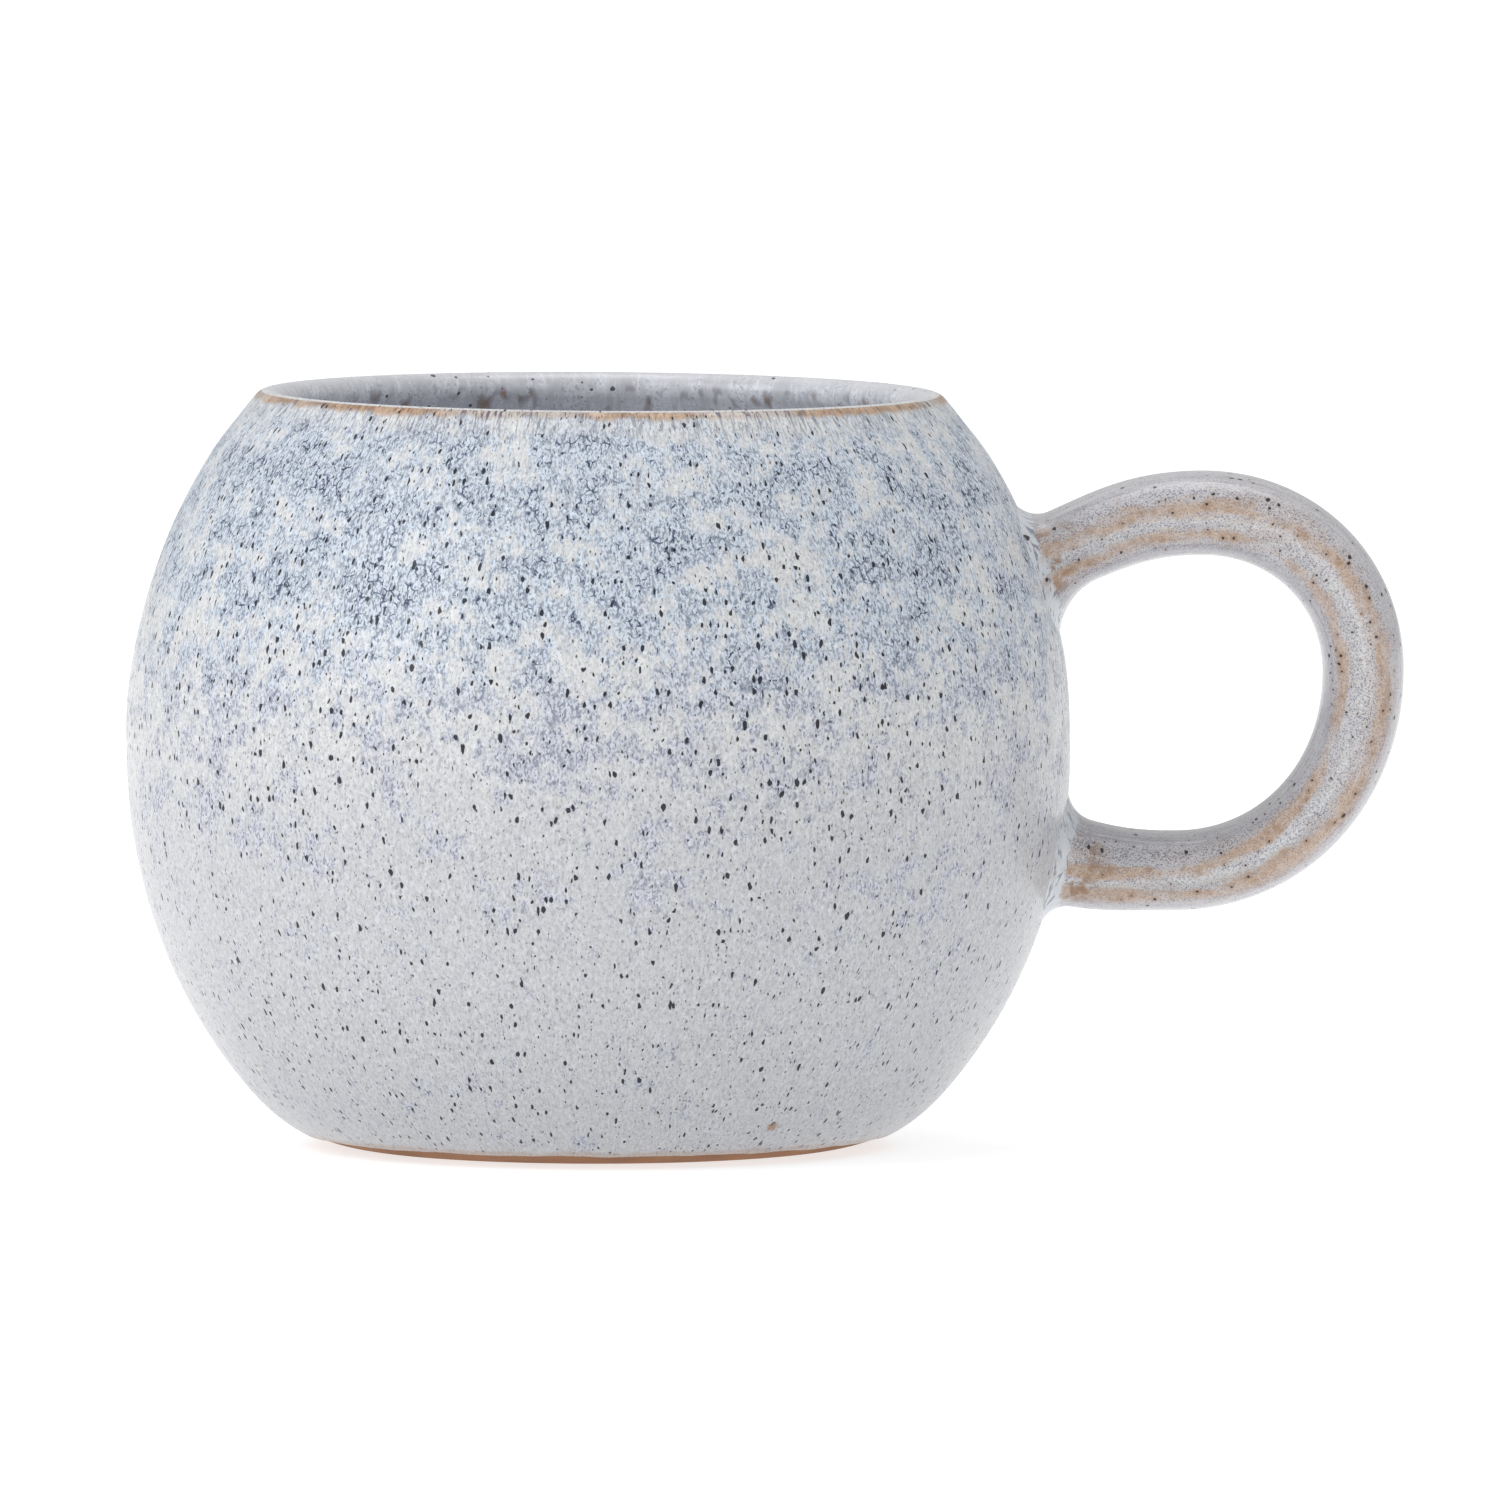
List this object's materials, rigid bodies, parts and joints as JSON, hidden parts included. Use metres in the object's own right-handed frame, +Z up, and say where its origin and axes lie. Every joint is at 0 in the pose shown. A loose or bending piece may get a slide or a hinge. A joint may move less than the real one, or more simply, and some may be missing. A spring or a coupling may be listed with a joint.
{
  "type": "ceramic mug",
  "caption": "Ball-shaped stoneware mug with an in-curved mouth, a looped strap handle, a speckled off-white glaze and a blue reactive glaze over its upper half.",
  "frame": {"origin": "centre of the flat foot, on the cup's axis, in the plane that the mug stands on", "axes": "+Z up along the cup's axis, +X from the axis towards the handle, +Y completes the right-handed frame"},
  "size_m": [0.1356, 0.1004, 0.08],
  "materials": {
    "stoneware": "bare fired tan clay, matt and slightly gritty",
    "luting_slip": "fired slip of the same clay, a little darker",
    "speckled_white_glaze": "glossy off-white with fine grey mottling and navy-black specks",
    "blue_reactive_glaze": "glossy blue-grey and milky white, curdled into small cells, with a broken lower edge",
    "liner_glaze": "glossy grey-lilac with darker runs down the wall",
    "handle_glaze": "glossy grey-lilac, thin and tan on the ridges, white in the groove, with brown specks"
  },
  "bodies": {
    "root": {"cup_body": "stoneware", "handle_strap": "stoneware", "upper_handle_joint": "luting_slip", "lower_handle_joint": "luting_slip", "outside_glaze": "speckled_white_glaze", "blue_overglaze": "blue_reactive_glaze", "inside_glaze": "liner_glaze", "handle_glaze": "handle_glaze"}
  },
  "joints": []
}
